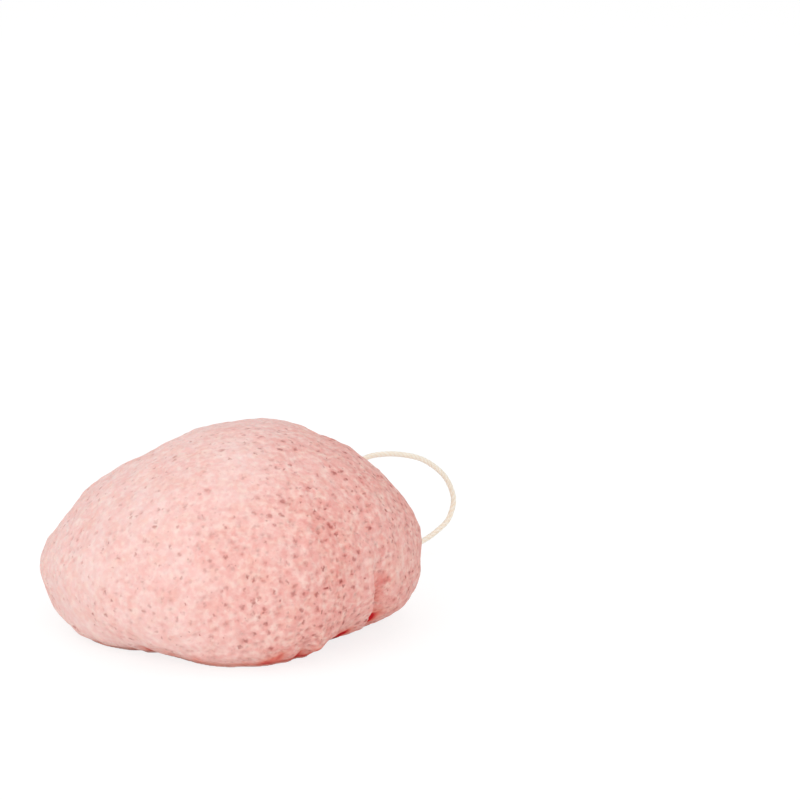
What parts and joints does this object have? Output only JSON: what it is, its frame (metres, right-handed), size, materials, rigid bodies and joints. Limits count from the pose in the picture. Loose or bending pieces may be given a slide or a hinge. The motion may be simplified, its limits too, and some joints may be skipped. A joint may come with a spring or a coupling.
{
  "type": "konjac sponge",
  "caption": "Half-ball face-washing sponge of soft plant-fibre foam with a flat face, a lumpy dome and a cotton hanging loop knotted through a needle hole.",
  "frame": {"origin": "middle of the foam's width and depth, on the flat face that the sponge rests on", "axes": "+Z from the flat face up to the crown, +X along the foam's width to the right, +Y to the back, where the loop's side is +X +Y"},
  "size_m": [0.0881, 0.0852, 0.042],
  "materials": {
    "konjac_foam": "matte",
    "cotton_cord": "matte"
  },
  "bodies": {
    "sponge": {"sponge_body": "konjac_foam"},
    "string": {"string_run": "cotton_cord", "string_knot": "cotton_cord"},
    "loop": {"hang_loop": "cotton_cord"}
  },
  "joints": [
    {"name": "string_swivel", "type": "hinge", "parent": "sponge", "child": "string", "pos_m": [0.02449, 0.02501, 0.0225], "axis": [0.5917, 0.6043, 0.5336], "range_deg": [-30, 60]},
    {"name": "loop_swing", "type": "hinge", "parent": "string", "child": "loop", "pos_m": [0.02449, 0.02501, 0.0225], "axis": [0, 0, 1], "range_deg": [-40, 45]}
  ]
}
